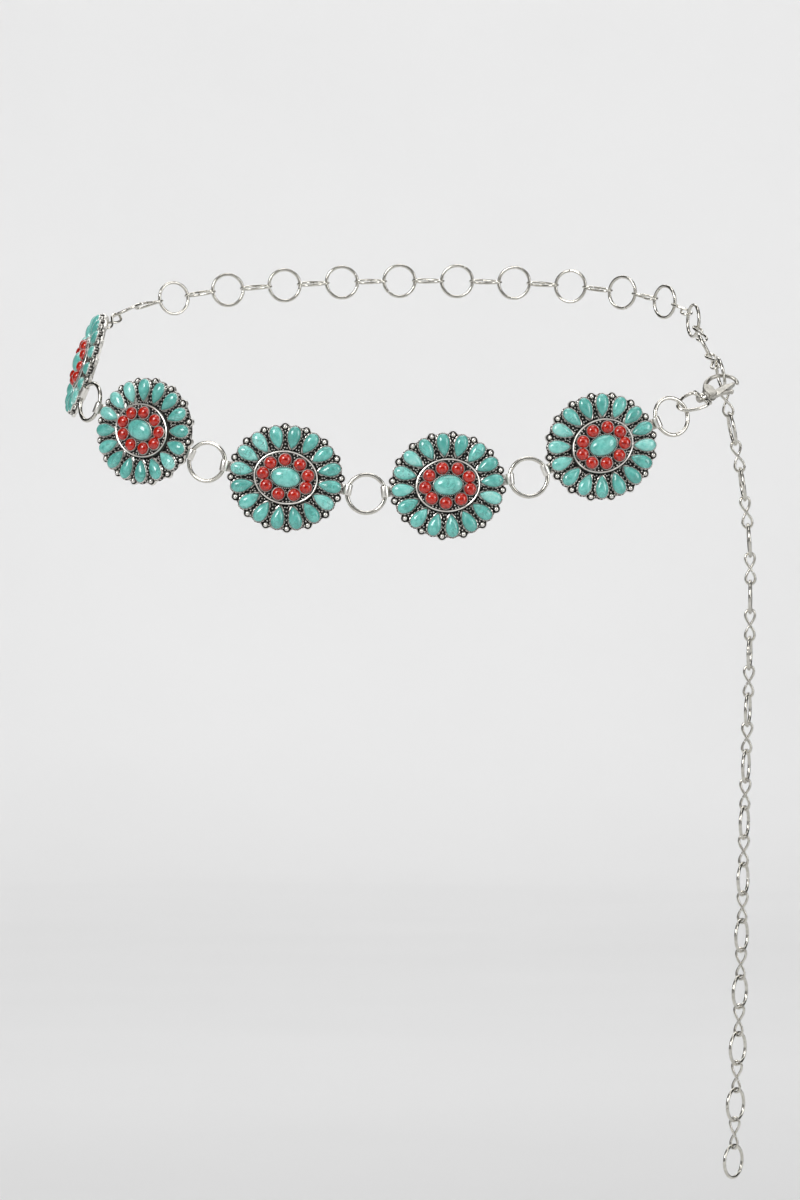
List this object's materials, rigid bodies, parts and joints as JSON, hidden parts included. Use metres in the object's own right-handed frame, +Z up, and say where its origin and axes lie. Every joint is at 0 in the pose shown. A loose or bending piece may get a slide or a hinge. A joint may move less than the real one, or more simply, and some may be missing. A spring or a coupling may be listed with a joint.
{
  "type": "concho belt",
  "caption": "Concho belt with stone-set oval plates on round rings, closed by a swivel clasp onto a chain of rings and figure-eight links whose free end hangs at the side.",
  "frame": {"origin": "centre of the waist hollow, on the level at which the back of the belt and its front are balanced", "axes": "+Z up, along the hanging free end and towards the back chain; -Y the front, where the plates face; +X the wearer's left, where the clasp and the free end are"},
  "size_m": [0.3365, 0.1793, 0.4482],
  "materials": {
    "bright_silver": "polished, silver-plated alloy",
    "antique_silver": "blackened in the hollows and rubbed bright on the high places, set with glossy turquoise and coral-red stones",
    "turquoise": "glossy stone"
  },
  "bodies": {
    "belt": {"link_ring_1": "bright_silver", "link_ring_2": "bright_silver", "link_ring_3": "bright_silver", "link_ring_4": "bright_silver", "link_ring_5": "bright_silver", "link_ring_6": "bright_silver", "concho_1": "antique_silver", "concho_2": "antique_silver", "concho_3": "antique_silver", "concho_4": "antique_silver", "concho_5": "antique_silver", "centre_stone_1": "turquoise", "centre_stone_2": "turquoise", "centre_stone_3": "turquoise", "centre_stone_4": "turquoise", "centre_stone_5": "turquoise", "clasp_hook": "bright_silver", "swivel_eye": "bright_silver", "hooked_ring": "bright_silver", "drop_eight_01": "bright_silver", "drop_eight_02": "bright_silver", "drop_eight_03": "bright_silver", "drop_eight_04": "bright_silver", "drop_eight_05": "bright_silver", "drop_eight_06": "bright_silver", "drop_eight_07": "bright_silver", "drop_eight_08": "bright_silver", "drop_eight_09": "bright_silver", "drop_eight_10": "bright_silver", "drop_eight_11": "bright_silver", "drop_eight_12": "bright_silver", "drop_eight_13": "bright_silver", "drop_eight_14": "bright_silver", "drop_ring_01": "bright_silver", "drop_ring_02": "bright_silver", "drop_ring_03": "bright_silver", "drop_ring_04": "bright_silver", "drop_ring_05": "bright_silver", "drop_ring_06": "bright_silver", "drop_ring_07": "bright_silver", "drop_ring_08": "bright_silver", "drop_ring_09": "bright_silver", "drop_ring_10": "bright_silver", "drop_ring_11": "bright_silver", "drop_ring_12": "bright_silver", "drop_ring_13": "bright_silver", "drop_ring_14": "bright_silver", "back_chain": "bright_silver"},
    "gate": {"clasp_gate": "bright_silver"}
  },
  "joints": [
    {"name": "gate_hinge", "type": "hinge", "parent": "belt", "child": "gate", "pos_m": [0.14826, -0.02457, -0.01069], "axis": [0.1209, -0.6917, 0.712], "range_deg": [0, 11], "stiffness_Nm_per_rad": 0.02}
  ]
}
